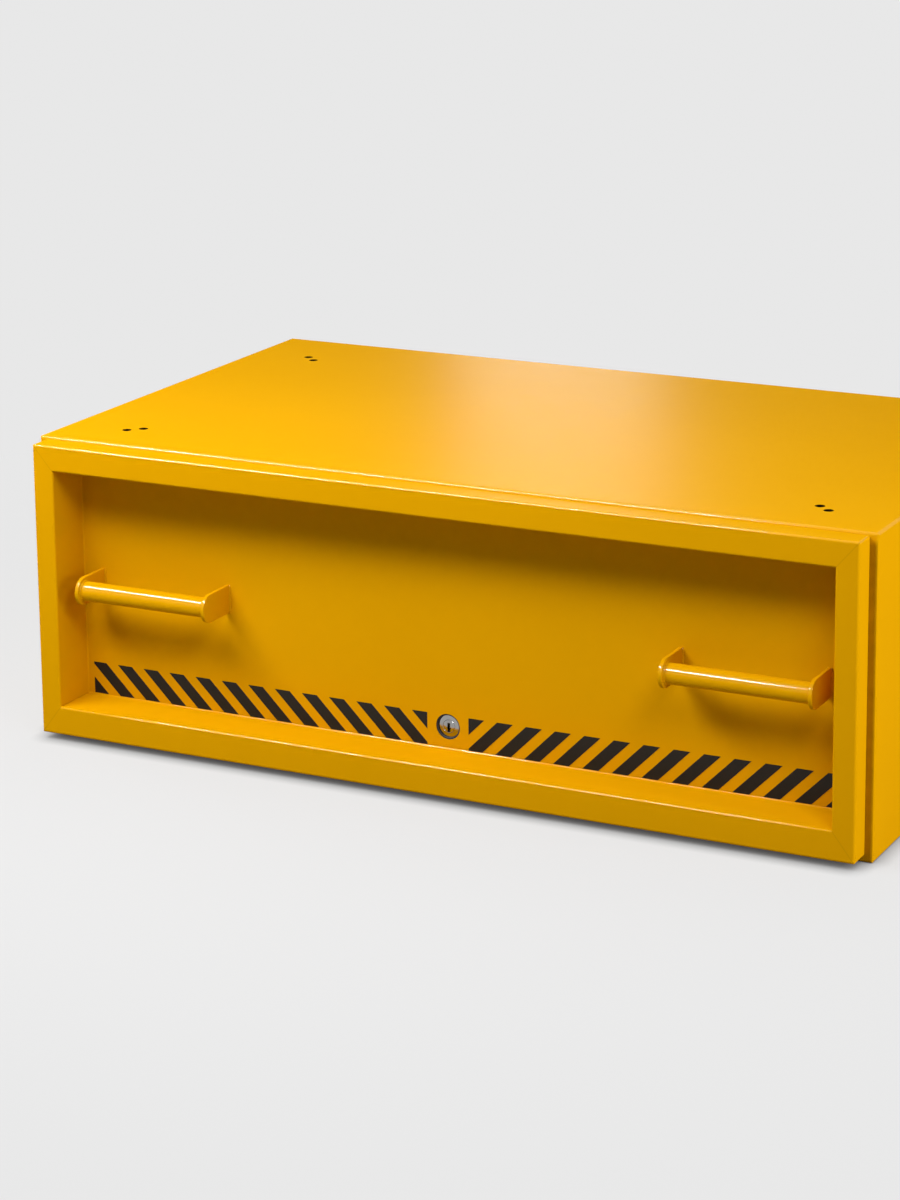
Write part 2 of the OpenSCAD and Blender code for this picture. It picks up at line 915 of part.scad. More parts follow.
module lock_plug() {
    color("silver")
        difference() {
            union() {
                translate([0, lock_face_y, lock_z])
                    rod_y(plug_d, plug_rear - lock_face_y);
                translate([0, plug_rear, lock_z])
                    rod_y(tail_d, crank_y + crank_t - plug_rear);
            }
            span([-key_w / 2, lock_face_y - cut, lock_z - key_h / 2],
                 [key_w / 2, lock_face_y + lock_body_l / 2, lock_z + key_h / 2]);
        }
}

// Disc on the plug's tail, with the pin that drives the bolt
module lock_crank() {
    color("silver")
        difference() {
            union() {
                translate([0, crank_y, lock_z])
                    rod_y(crank_d, crank_t);
                translate([pin_x, crank_y, pin_z])
                    rod_y(crank_pin_d, crank_t + bolt_gap + bolt_t);
            }
            translate([0, crank_y - cut, lock_z])
                rod_y(tail_d + 2 * plug_clear, crank_t + 2 * cut);
        }
}

module lock_bolt() {
    slot_l = crank_r - pin_x + crank_pin_d + 2 * pin_end_gap;
    slot_h = crank_pin_d + 2 * pin_gap;
    color("silver")
        difference() {
            span([-bolt_w / 2, bolt_y, bolt_z0], [bolt_w / 2, bolt_y + bolt_t, bolt_z1]);
            translate([pin_x - crank_pin_d / 2 - pin_end_gap, bolt_y - cut, pin_z - slot_h / 2])
                cube([slot_l, bolt_t + 2 * cut, slot_h]);
        }
}

casing_shell();
casing_floor();
casing_back();
top_fixing_plates();
floor_fixing_plates();
at_left() slide_bracket();  // left_slide_bracket
slide_bracket();  // right_slide_bracket
at_left() slide_outer();  // left_slide_outer
slide_outer();  // right_slide_outer
slide_outer_rivets();
rear_buffers();
lock_keeper();
at_left() slide_middle();  // left_slide_middle
slide_middle();  // right_slide_middle
at_left() ball_cage(slide_sheet + slide_play, outer_ball_v);  // left_outer_cage
ball_cage(slide_sheet + slide_play, outer_ball_v);  // right_outer_cage
at_left() ball_cage(inner_cage_u, inner_ball_v);  // left_inner_cage
ball_cage(inner_cage_u, inner_ball_v);  // right_inner_cage
at_left() ball_set(outer_ball_v);  // left_outer_balls
ball_set(outer_ball_v);  // right_outer_balls
at_left() ball_set(inner_ball_v);  // left_inner_balls
ball_set(inner_ball_v);  // right_inner_balls
frame_top();
frame_bottom();
at_left() frame_upright();  // frame_left
frame_upright();  // frame_right
front_panel();
at_left() handle_tube();  // left_handle_tube
handle_tube();  // right_handle_tube
at_left() handle_plates();  // left_handle_plates
handle_plates();  // right_handle_plates
at_left() hazard_stripes();  // left_hazard_stripes
hazard_stripes();  // right_hazard_stripes
tray_floor();
at_left() tray_side();  // tray_left_side
tray_side();  // tray_right_side
tray_back();
tray_side_nuts();
at_left() slide_inner();  // left_slide_inner
slide_inner();  // right_slide_inner
slide_inner_rivets();
lock_body();
lock_body_screws();
lock_case();
lock_case_nuts();
lock_cover();
lock_cover_screws();
lock_plug();
lock_crank();
lock_bolt();
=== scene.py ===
import math

import bpy
from mathutils import Matrix, Vector


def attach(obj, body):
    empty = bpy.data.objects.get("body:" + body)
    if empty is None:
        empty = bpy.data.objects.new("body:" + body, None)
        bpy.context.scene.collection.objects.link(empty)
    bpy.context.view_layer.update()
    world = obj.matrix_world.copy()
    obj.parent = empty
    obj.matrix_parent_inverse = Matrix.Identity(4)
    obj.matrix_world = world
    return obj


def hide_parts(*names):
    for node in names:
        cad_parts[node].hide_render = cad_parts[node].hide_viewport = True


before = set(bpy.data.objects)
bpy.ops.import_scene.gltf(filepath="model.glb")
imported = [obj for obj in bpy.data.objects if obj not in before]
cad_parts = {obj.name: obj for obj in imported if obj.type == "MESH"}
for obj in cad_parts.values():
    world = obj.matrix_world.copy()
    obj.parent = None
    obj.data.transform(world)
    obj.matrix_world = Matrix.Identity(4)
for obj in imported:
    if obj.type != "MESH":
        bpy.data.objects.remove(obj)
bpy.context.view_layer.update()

# The casing. It is folded from 2 mm steel sheet, welded, and powder coated in
# a semi-gloss amber yellow that runs over every fold and inside every corner.
# Doubler plates are welded behind the fixing holes and coated with the rest.


class Socket:
    """A number of a finish that varies over the surface; sums on it add their own Math nodes."""

    def __init__(self, nodes, output):
        self.nodes = nodes
        self.output = output

    def math(self, operation, first, second):
        return self.nodes.node("Math", {"operation": operation}, {0: first, 1: second})

    def __add__(self, other):
        return self.math("ADD", self, other)

    def __radd__(self, other):
        return self.math("ADD", other, self)

    def __sub__(self, other):
        return self.math("SUBTRACT", self, other)

    def __rsub__(self, other):
        return self.math("SUBTRACT", other, self)

    def __mul__(self, other):
        return self.math("MULTIPLY", self, other)

    def __rmul__(self, other):
        return self.math("MULTIPLY", other, self)

    def __abs__(self):
        return self.math("ABSOLUTE", self, 0.0)

    def least(self, other):
        return self.math("MINIMUM", self, other)

    def most(self, other):
        return self.math("MAXIMUM", self, other)


class NodeTree:
    """The shader nodes of a finish, or of the room round the object."""

    def __init__(self, tree):
        self.tree = tree

    def node(self, kind, settings=None, sockets=None, output=0):
        """Adds one node, with its settings and then its sockets, and returns one of its outputs."""
        node = self.tree.nodes.new("ShaderNode" + kind)
        for name, value in (settings or {}).items():
            setattr(node, name, value)
        for name, value in (sockets or {}).items():
            if isinstance(value, Socket):
                self.tree.links.new(value.output, node.inputs[name])
            else:
                node.inputs[name].default_value = value
        return Socket(self, node.outputs[output])

    def feed(self, socket, value, node="Principled BSDF"):
        """Links a varying value to one socket of the shader, or of another node that is there already."""
        self.tree.links.new(value.output, self.tree.nodes[node].inputs[socket])


class Finish(NodeTree):
    """A procedural finish: a material whose shader sockets are set by name."""

    def __init__(self, name, slot, **constants):
        self.material = bpy.data.materials.new(name)
        self.slot = slot
        self.material.use_nodes = True
        super().__init__(self.material.node_tree)
        self.shader = self.tree.nodes["Principled BSDF"]
        for socket, value in constants.items():
            self.shader.inputs[socket.replace("_", " ")].default_value = value
        self.place = self.node("TexCoord", output="Object")

    def noise(self, scale, detail=2.0, stretch=(1, 1, 1)):
        """Cloudy variation about 0.5, with the scale in features per metre."""
        place = self.place
        if stretch != (1, 1, 1):
            place = self.node("Mapping", None, {"Vector": place, "Scale": stretch})
        return self.node("TexNoise", None, {"Vector": place, "Scale": scale, "Detail": detail})

    def band(self, value, low, high):
        """0 below low and 1 above high, straight in between."""
        return self.node("MapRange", None, {"Value": value, "From Min": low, "From Max": high})

    def blend(self, factor, first, second):
        """Mixes two colours."""
        return self.node("Mix", {"data_type": "RGBA"}, {0: factor, 6: first, 7: second}, 2)

    def edges(self, width):
        """1 along the sharp edges of the piece, 0 on its flats and inside curves."""
        rounded = self.node("Bevel", {"samples": 4}, {"Radius": width})
        flat = self.node("NewGeometry", output="Normal")
        agree = self.node("VectorMath", {"operation": "DOT_PRODUCT"}, {0: rounded, 1: flat}, "Value")
        return self.band(1 - agree, 0.02, 0.25)

    def parts(self, vector):
        """The X, Y and Z of a vector."""
        first = self.node("SeparateXYZ", None, {0: vector})
        return [Socket(self, output) for output in first.output.node.outputs]

    def upper_folds(self):
        """0 on flats that stand square, rising to 1 across the folds and tubes that face upwards."""
        normal = self.node("NewGeometry", output="Normal")
        squared = self.node("VectorMath", {"operation": "MULTIPLY"}, {0: normal, 1: normal})
        square_on = self.node("VectorMath", {"operation": "DOT_PRODUCT"}, {0: squared, 1: squared}, "Value")
        return self.band(1 - square_on, 0.03, 0.3) * self.band(self.parts(normal)[2], 0.05, 0.3)

    def relief(self, height, depth):
        """Raises the surface by height times depth in metres."""
        bumped = self.node("Bump", None, {"Height": height, "Distance": depth, "Strength": 1.0})
        self.feed("Normal", bumped)


def dress(finish, *nodes):
    """Gives a finish to solids of the frame whose own shape is right."""
    for node in nodes:
        for material_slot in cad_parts[node].material_slots:
            material_slot.material = finish.material


def amber_coat(name):
    """Powder coat that drifts between two ambers and is paler along its edges, partly from the thinner coat there and
    partly as a painted highlight; also gives its colour.
    """
    coat = Finish(name, "yellow_paint", Coat_Roughness=0.045, Specular_IOR_Level=0.0003)
    mottle = coat.noise(45.0, 3.0)
    colour = coat.blend(coat.noise(3.0, 2.0), (0.61, 0.289, 0.0, 1), (0.66, 0.315, 0.001, 1))
    colour = coat.blend(0.25 * mottle, colour, (0.6798, 0.3339, 0.002, 1))
    # Paler along the edges: partly the thinner coat there, partly a painted highlight on the edges.
    colour = coat.blend(0.35 * coat.edges(0.0012), colour, (0.693, 0.378, 0.012, 1))
    coat.feed("Base Color", colour)
    coat.feed("Roughness", 0.28 + 0.1 * mottle)
    coat.feed("Coat Weight", 0.42 * coat.upper_folds())
    coat.relief(coat.noise(420.0, 1.0), 0.000025)
    return coat, colour


powder_coat = amber_coat("amber powder coat")[0]
casing_coat, casing_colour = amber_coat("casing amber coat")
across, along, up = casing_coat.parts(casing_coat.place)

# Painted shade: the walls of the top's fixing holes are painted near-black, standing in for the dark inside of the
# holes.
bore_out, bore_in, bore_top = 0.0068, 0.0066, 0.4159
for hole_x, hole_y in ((0.504, 0.2525), (0.487, 0.237)):
    beside, before = abs(across) - hole_x, abs(along) - hole_y
    near = casing_coat.band(beside * beside + before * before, bore_out ** 2, bore_in ** 2)
    bored = near.least(casing_coat.band(up, bore_top, bore_top - 0.0003))
    casing_colour = casing_coat.blend(bored, casing_colour, (0.006, 0.004, 0.003, 1))

# Painted shade: the casing's front flanges, in the groove behind the drawer's front that the frame shadows, are painted
# dark brown with a cloudy variation.
groove_shade_mask = casing_coat.band(abs(across), 0.580, 0.584).least(casing_coat.band(abs(across), 0.5945, 0.593))
groove_shade_mask = groove_shade_mask.least(casing_coat.band(along, -0.3262, -0.3268)).least(casing_coat.band(up, 0.408, 0.400))
groove_painted_shade = (0.3 + 0.3 * casing_coat.noise(60.0, 3.0)) * groove_shade_mask
# The painted shade in the groove darkens the casing's colour there.
casing_coat.feed("Base Color", casing_coat.blend(groove_painted_shade, casing_colour, (0.075, 0.031, 0.0, 1)))
dress(casing_coat, "casing_shell", "top_fixing_plates")
dress(powder_coat, "casing_floor", "casing_back", "floor_fixing_plates")
dress(powder_coat, "left_slide_bracket", "right_slide_bracket", "lock_keeper")

# The drawer slides. Three cold-rolled members on each side run in two rows of
# balls held by punched cages. They are zinc plated, brushed along their run,
# and riveted to the brackets and to the tray with domed rivets.

zinc_plate = Finish("zinc plate", "zinc_steel", Metallic=1.0)
plate_brush = zinc_plate.noise(900.0, 2.0, (1, 0.03, 1))
plate_cloud = zinc_plate.noise(9.0, 3.0)
plate_colour = zinc_plate.blend(plate_cloud, (0.50, 0.51, 0.54, 1), (0.66, 0.66, 0.65, 1))
plate_colour = zinc_plate.blend(0.2 * plate_brush, plate_colour, (0.40, 0.40, 0.41, 1))
plate_colour = zinc_plate.blend(0.5 * zinc_plate.edges(0.0006), plate_colour, (0.76, 0.75, 0.73, 1))
zinc_plate.feed("Base Color", plate_colour)
zinc_plate.feed("Roughness", 0.26 + 0.14 * plate_brush + 0.08 * plate_cloud)
zinc_plate.relief(plate_brush, 0.00001)

polished_steel = Finish("polished steel", "bearing_steel", Metallic=1.0)
steel_smear = polished_steel.noise(160.0, 2.0)
polished_steel.feed("Base Color", polished_steel.blend(steel_smear, (0.66, 0.65, 0.63, 1), (0.74, 0.74, 0.75, 1)))
polished_steel.feed("Roughness", 0.08 + 0.12 * steel_smear)
polished_steel.relief(steel_smear, 0.000005)

for side in ("left", "right"):
    dress(zinc_plate, side + "_slide_outer", side + "_slide_middle", side + "_slide_inner")
    dress(zinc_plate, side + "_outer_cage", side + "_inner_cage")
    dress(polished_steel, side + "_outer_balls", side + "_inner_balls")

to_right, to_left = (0, math.pi / 2, 0), (0, -math.pi / 2, 0)


def turned(outline, sides, bored=False):
    """A lathe-turned shape: a ring drawn out along Z through (radius, height) pairs in millimetres."""
    bpy.ops.object.select_all(action="DESELECT")
    radius, height = outline[0]
    bpy.ops.mesh.primitive_circle_add(vertices=sides, radius=radius / 1000, location=(0, 0, 0),
                                      fill_type="NOTHING" if bored else "NGON")
    shape = bpy.context.object
    bpy.ops.object.mode_set(mode="EDIT")
    bpy.ops.mesh.select_mode(type="VERT")
    bpy.ops.mesh.select_all(action="SELECT")
    bpy.ops.transform.translate(value=(0, 0, height / 1000))
    for next_radius, next_height in outline[1:]:
        bpy.ops.mesh.extrude_region_move()
        bpy.ops.transform.translate(value=(0, 0, (next_height - height) / 1000))
        grow = next_radius / radius
        bpy.ops.transform.resize(value=(grow, grow, 1), center_override=(0, 0, 0))
        radius, height = next_radius, next_height
    bpy.ops.mesh.select_all(action="SELECT")
    bpy.ops.mesh.remove_doubles(threshold=0.000001)
    bpy.ops.mesh.normals_make_consistent(inside=False)
    bpy.ops.object.mode_set(mode="OBJECT")
    bpy.ops.object.shade_smooth_by_angle(angle=math.radians(35))
    return shape


def gather(name, shapes):
    """Joins shapes to one piece."""
    bpy.ops.object.select_all(action="DESELECT")
    for shape in shapes:
        shape.select_set(True)
    bpy.context.view_layer.objects.active = shapes[0]
    bpy.ops.object.join()
    piece = bpy.context.object
    piece.name = name
    return piece


def set_out(name, shape, places):
    """One piece made of copies of a shape, each at a place in millimetres with a turn."""
    copies = []
    for place, turn in places:
        bpy.ops.object.select_all(action="DESELECT")
        shape.select_set(True)
        bpy.context.view_layer.objects.active = shape
        bpy.ops.object.duplicate(linked=False)
        copy = bpy.context.object
        copy.location = [value / 1000 for value in place]
        copy.rotation_euler = turn
        bpy.ops.object.transform_apply(location=True, rotation=True, scale=True)
        copies.append(copy)
    bpy.data.objects.remove(shape)
    return gather(name, copies)


def mount(piece, finish, body, *solids):
    """Gives a piece its finish, fixes it to a body and puts it in the place of solids of the frame."""
    piece.data.materials.clear()
    piece.data.materials.append(finish.material)
    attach(piece, body)
    if solids:
        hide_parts(*solids)


slide_height = 110
outer_rivet_x, inner_rivet_x = 561.5, 536.5
rivet_rows = (-233.99, 16.0, 265.99)
rivet_dome = [(0.7, 0.0), (2.6, 0.1), (4.0, 0.35), (4.8, 0.7), (5.0, 1.0), (2.5, 1.02)]
outer_rivet = turned(rivet_dome + [(2.5, 3.78), (4.9, 3.8), (4.9, 4.7), (4.6, 4.8)], 20)
mount(set_out("domed_outer_rivets", outer_rivet,
              [((way * outer_rivet_x, y, slide_height), to_right if way < 0 else to_left)
               for way in (-1, 1) for y in rivet_rows]),
      zinc_plate, "casing", "slide_outer_rivets")
inner_rivet = turned(rivet_dome + [(2.5, 4.78), (4.9, 4.8), (4.9, 5.7), (4.6, 5.8)], 20)
mount(set_out("domed_inner_rivets", inner_rivet,
              [((way * inner_rivet_x, y, slide_height), to_left if way < 0 else to_right)
               for way in (-1, 1) for y in rivet_rows]),
      zinc_plate, "drawer", "slide_inner_rivets")

# The welds of the casing. The back sheet is set 2 mm into the folded shell and
# held by short runs of weld round its edge, coated with the casing.


def ripple(piece, grain, height):
    """Gives a weld bead its uneven skin, the height in millimetres."""
    waves = bpy.data.textures.new("weld_waves", "CLOUDS")
    waves.noise_scale = grain / 1000
    uneven = piece.modifiers.new("uneven", "DISPLACE")
    uneven.texture = waves
    uneven.texture_coords = "LOCAL"
    uneven.strength = height / 1000
    bpy.ops.object.modifier_apply(modifier="uneven")


def weld_run(length, thick):
    """A run of weld along Z with round ends and its rippled skin, in millimetres."""
    pitch, end = 1.2, 0.8
    rows = int((length - 2 * end) / pitch)
    outline = [(0.4, -length / 2)] + [(thick, pitch * row - length / 2 + end) for row in range(rows + 1)]
    run = turned(outline + [(0.4, length / 2)], 10)
    ripple(run, 1.8, 0.7)
    bpy.ops.object.shade_smooth()
    return run


upright = (0, 0, 0)
seam_y, seam_x, seam_foot, seam_head = 360.4, 589.8, 5.2, 410.8
across_back = [((x, seam_y, z), to_right) for z in (seam_foot, seam_head) for x in range(-500, 501, 125)]
up_back = [((way * seam_x, seam_y, z), upright) for way in (-1, 1) for z in range(58, 359, 75)]
broad_weld = weld_run(30, 1.6)
bpy.ops.transform.resize(value=(1.6, 1, 1), center_override=(0, 0, 0))
mount(set_out("back_sheet_welds", broad_weld, across_back + up_back), powder_coat, "casing")

# The rear buffers are moulded rubber feet behind the tray, each on a shank
# with a rounded nose that the closed drawer stops against.

rubber = Finish("black rubber", "black_rubber", Specular_IOR_Level=0.3)
rubber_dust = rubber.noise(90.0, 4.0)
rubber_colour = rubber.blend(rubber_dust, (0.012, 0.012, 0.012, 1), (0.032, 0.031, 0.029, 1))
rubber.feed("Base Color", rubber.blend(0.4 * rubber.edges(0.0008), rubber_colour, (0.07, 0.068, 0.064, 1)))
rubber.feed("Roughness", 0.6 + 0.25 * rubber_dust)
rubber.relief(rubber.noise(900.0, 2.0), 0.00006)
to_rear = (-math.pi / 2, 0, 0)
buffer_x, buffer_nose_y, buffer_height = 349.5, 335.3, 110
buffer_shape = turned([(4.5, 0.6), (4.8, 0.05), (9.6, 0.0), (11.2, 0.5), (12.0, 1.8), (12.0, 9.0), (10.6, 10.2),
                       (10.6, 17.4), (12.0, 18.8), (12.0, 22.6), (11.4, 23.2)], 40)
mount(set_out("moulded_rear_buffers", buffer_shape,
              [((way * buffer_x, buffer_nose_y, buffer_height), to_rear) for way in (-1, 1)]),
      rubber, "casing", "rear_buffers")

# The drawer's front: four hollow frame members, mitred and welded, and the
# recessed panel that is folded into them. All are powder coated together, so
# that the ground mitres show as faint lines at the four corners.

dress(powder_coat, "front_panel")
frame_coat, frame_colour = amber_coat("frame amber coat")
frame_half, frame_head, frame_foot, frame_face = 0.584, 0.4125, 0.009, 0.032
across, _, up = frame_coat.parts(frame_coat.place)
from_side = frame_half - abs(across)
off_top_mitre = abs(0.754 * from_side - 0.657 * (frame_head - up))
off_bottom_mitre = abs(0.792 * from_side - 0.611 * (up - frame_foot))
mitre = frame_coat.band(off_top_mitre.least(off_bottom_mitre), 0.001, 0.0003)
mitre = mitre.least(frame_coat.band(from_side, frame_face, frame_face - 0.001))
frame_coat.feed("Base Color", frame_coat.blend(0.22 * mitre, frame_colour, (0.30, 0.13, 0.0, 1)))
dress(frame_coat, "frame_top", "frame_bottom", "frame_left", "frame_right")

# The handles. Each is a round steel tube between two end plates, cut with a
# round front and welded square to the panel. A bead of weld runs round each
# tube end and down both sides of each plate, under the powder coat.

dress(powder_coat, "left_handle_tube", "right_handle_tube")
plate_round, plate_thick, plate_reach = 19.25, 5.0, 49.5
tube_axis_y, tube_axis_z, panel_y = -342.0, 211.0, -292.5
plate_middles = (327.0, 523.0)
bead_ring, bead_thick = 13.75, 1.6


def pick(piece, wanted):
    """Selects the faces of a piece whose middle and normal pass a test, and leaves it in edit mode."""
    bpy.ops.object.mode_set(mode="EDIT")
    bpy.ops.mesh.select_mode(type="FACE")
    bpy.ops.mesh.select_all(action="DESELECT")
    bpy.ops.object.mode_set(mode="OBJECT")
    for face in piece.data.polygons:
        face.select = wanted(face.center, face.normal)
    bpy.ops.object.mode_set(mode="EDIT")


bpy.ops.object.select_all(action="DESELECT")
bpy.ops.mesh.primitive_cylinder_add(vertices=64, radius=plate_round / 1000, depth=plate_thick / 1000,
                                    location=(0, 0, 0), rotation=to_right)
end_plate = bpy.context.object
bpy.ops.object.transform_apply(location=True, rotation=True, scale=True)
bpy.ops.object.mode_set(mode="EDIT")
bpy.ops.mesh.select_all(action="SELECT")
bpy.ops.mesh.bisect(plane_co=(0, 0, 0), plane_no=(0, 1, 0), use_fill=True, clear_outer=True)
pick(end_plate, lambda middle, normal: normal.y > 0.9 and abs(middle.y) < 0.0005)
bpy.ops.mesh.extrude_region_move()
bpy.ops.transform.translate(value=(0, plate_reach / 1000, 0))
bpy.ops.mesh.select_mode(type="EDGE")
bpy.ops.mesh.select_all(action="DESELECT")
bpy.ops.mesh.edges_select_sharp(sharpness=math.radians(50))
bpy.ops.mesh.bevel(offset=0.0006, segments=3, affect="EDGES")
bpy.ops.mesh.select_all(action="SELECT")
bpy.ops.mesh.normals_make_consistent(inside=False)
bpy.ops.object.mode_set(mode="OBJECT")
bpy.ops.object.shade_smooth_by_angle(angle=math.radians(32))

bpy.ops.object.select_all(action="DESELECT")
bpy.ops.mesh.primitive_torus_add(major_segments=72, minor_segments=10, major_radius=bead_ring / 1000,
                                 minor_radius=bead_thick / 1000, location=(0, 0, 0))
tube_bead = bpy.context.object
bpy.ops.object.mode_set(mode="EDIT")
bpy.ops.mesh.select_all(action="SELECT")
bpy.ops.transform.resize(value=(1, 1, 1.25), center_override=(0, 0, 0))
bpy.ops.object.mode_set(mode="OBJECT")
ripple(tube_bead, 1.6, 0.5)
bpy.ops.object.shade_smooth()

spare_plate = end_plate.copy()
spare_plate.data = end_plate.data.copy()
bpy.context.collection.objects.link(spare_plate)
for side, way, shape in (("left", -1, end_plate), ("right", 1, spare_plate)):
    mount(set_out(side + "_rounded_plates", shape,
                  [((way * x, tube_axis_y, tube_axis_z), upright) for x in plate_middles]),
          powder_coat, "drawer", side + "_handle_plates")
mount(set_out("tube_weld_beads", tube_bead,
              [((way * (x + inward * plate_thick / 2), tube_axis_y, tube_axis_z), to_right)
               for way in (-1, 1) for x, inward in zip(plate_middles, (1, -1))]),
      powder_coat, "drawer")
mount(set_out("plate_weld_beads", weld_run(38.8, 1.8),
              [((way * x + face * plate_thick / 2, panel_y - 0.2, tube_axis_z), upright)
               for way in (-1, 1) for x in plate_middles for face in (-1, 1)]),
      powder_coat, "drawer")

# The hazard stripes are cut from black vinyl film with a faint sheen and stuck
# to the panel, in two rows that slant away from the lock.

vinyl = Finish("black vinyl", "black_vinyl", Specular_IOR_Level=0.2)
vinyl_cloud = vinyl.noise(120.0, 3.0)
vinyl_colour = vinyl.blend(vinyl_cloud, (0.007, 0.006, 0.0045, 1), (0.012, 0.010, 0.007, 1))
vinyl.feed("Base Color", vinyl.blend(0.3 * vinyl.edges(0.0002), vinyl_colour, (0.05, 0.035, 0.015, 1)))
vinyl.feed("Roughness", 0.42 + 0.12 * vinyl_cloud)
vinyl.relief(vinyl.noise(700.0, 1.0), 0.00002)
dress(vinyl, "left_hazard_stripes", "right_hazard_stripes")

# The tray behind the front is folded from 2 mm sheet, welded in short runs and
# powder coated. Studs welded behind the panel hold its sides, with
# zinc-plated hexagon nuts.

dress(powder_coat, "tray_floor", "tray_left_side", "tray_right_side", "tray_back")
tray_side, tray_rear, tray_foot = 537.2, 332.7, 52.3
along_floor = [((way * tray_side, y, tray_foot), to_rear) for way in (-1, 1) for y in range(-230, 311, 90)]
across_floor = [((x, tray_rear, tray_foot), to_right) for x in range(-450, 451, 150)]
up_corners = [((way * tray_side, tray_rear, z), upright) for way in (-1, 1) for z in (95, 180, 265)]
mount(set_out("tray_welds", weld_run(26, 1.5), along_floor + across_floor + up_corners), powder_coat, "drawer")


def stud_and_nut(clamped):
    """A threaded stud, 6 mm thick, with the nut that clamps so many millimetres of sheet."""
    nut_radius, nut_height, end = 6.5, 6.0, clamped + 9
    thread = []
    for height in range(clamped, end - 1):
        thread += [(3.0, height), (2.6, height + 0.5)]
    stud = turned([(2.4, 0.0), (3.0, 0.0)] + thread + [(3.0, end - 0.6), (2.2, end)], 14)
    bpy.ops.object.select_all(action="DESELECT")
    bpy.ops.mesh.primitive_cylinder_add(vertices=6, radius=nut_radius / 1000, depth=nut_height / 1000,
                                        location=(0, 0, (clamped + nut_height / 2) / 1000),
                                        rotation=(0, 0, math.pi / 6))
    nut = bpy.context.object
    bpy.ops.object.transform_apply(location=True, rotation=True, scale=True)
    pick(nut, lambda middle, normal: normal.z > 0.9)
    bpy.ops.mesh.bevel(offset=0.0008, segments=2, affect="EDGES")
    bpy.ops.object.mode_set(mode="OBJECT")
    bpy.ops.object.shade_smooth_by_angle(angle=math.radians(25))
    return gather("stud_and_nut", [stud, nut])


tray_nut_x, panel_back_y = 529.5, -290.5
tray_nut_rows = [82.0 + count * 218.0 / 3 for count in range(4)]
mount(set_out("threaded_tray_nuts", stud_and_nut(2),
              [((way * tray_nut_x, panel_back_y, z), to_rear) for way in (-1, 1) for z in tray_nut_rows]),
      zinc_plate, "drawer", "tray_side_nuts")

# The lock's body is die-cast and satin chromed, with a slightly domed face and
# a flange that two screws hold from behind. A black rubber ring of L section fills the gap between the face
# and the panel, put there to stand in for the shade in that gap.

chrome = Finish("satin chrome", "chrome_lock", Metallic=1.0)
chrome_smear = chrome.noise(140.0, 3.0)
chrome_colour = chrome.blend(chrome_smear, (0.30, 0.295, 0.29, 1), (0.42, 0.415, 0.405, 1))
chrome.feed("Base Color", chrome.blend(0.5 * chrome.edges(0.0005), chrome_colour, (0.62, 0.61, 0.59, 1)))
chrome.feed("Roughness", 0.05 + 0.1 * chrome_smear)
chrome.relief(chrome.noise(600.0, 2.0), 0.00001)

lock_face, lock_height = -289.6, 78.5
lock_shape = turned([(14.9, 0.62), (15.6, 0.74), (15.9, 0.95), (16.0, 1.3), (16.0, 2.1), (23.0, 2.1), (23.0, 5.1),
                     (16.0, 5.1), (16.0, 33.6), (8.55, 33.6), (8.55, 0.45), (8.8, 0.15), (10.5, 0.22), (12.5, 0.38),
                     (14.9, 0.62)], 72, bored=True)
mount(set_out("domed_lock_body", lock_shape, [((0, lock_face, lock_height), to_rear)]),
      chrome, "drawer", "lock_body")

# A dark ring that stands in for the shade in the gap round the lock face.
gap_shade_ring = turned([(15.4, 0.7), (15.3, -1.4), (15.6, -1.7), (17.3, -1.7), (17.3, -1.0), (16.15, -1.0), (16.15, 0.7),
                       (15.4, 0.7)], 64, bored=True)
mount(set_out("lock_gap_shade_ring", gap_shade_ring, [((0, lock_face, lock_height), to_rear)]), rubber, "drawer")

# The lock's plug is turned brass, chromed like the body, with the wards of its
# keyway milled in. It turns in the body's bore and carries the crank behind.


def cut_out(piece, size, place):
    """Mills a square-cornered slot out of a piece, its size and place in millimetres."""
    bpy.ops.object.select_all(action="DESELECT")
    bpy.ops.mesh.primitive_cube_add(size=1, location=[value / 1000 for value in place],
                                    scale=[value / 1000 for value in size])
    mill = bpy.context.object
    bpy.context.view_layer.objects.active = piece
    slot = piece.modifiers.new("slot", "BOOLEAN")
    slot.operation = "DIFFERENCE"
    slot.solver = "EXACT"
    slot.object = mill
    bpy.ops.object.modifier_apply(modifier="slot")
    bpy.data.objects.remove(mill)


plug_shape = turned([(1.0, -0.3), (3.0, -0.27), (5.5, -0.17), (7.6, 0.0), (8.2, 0.12), (8.5, 0.45), (8.5, 33.4),
                     (4.0, 33.4), (4.0, 36.9)], 64)
cut_out(plug_shape, (4, 12.6, 28), (0, 1.9, 0))
cut_out(plug_shape, (6.4, 1.4, 28), (0, 2.5, 0))
bpy.context.view_layer.objects.active = plug_shape
plug_shape.select_set(True)
bpy.ops.object.shade_smooth_by_angle(angle=math.radians(35))
mount(set_out("slotted_lock_plug", plug_shape, [((0, lock_face, lock_height), to_rear)]),
      chrome, "lock_plug", "lock_plug")

# The lock's case, crank and bolt are zinc-plated steel and its cover is powder
# coated. Slotted pan-head screws hold the body and the cover, and four nuts on
# studs hold the case to the panel.


def pan_screw(shank):
    """A slotted pan-head screw, 4 mm thick, with a shank of so many millimetres."""
    screw = turned([(1.5, 0.0), (2.0, 0.5), (2.0, shank), (3.3, shank), (3.3, shank + 1.0), (2.9, shank + 1.7),
                    (1.8, shank + 2.15), (0.6, shank + 2.2)], 24)
    cut_out(screw, (0.9, 8, 2), (0, 0, shank + 2.1))
    return screw


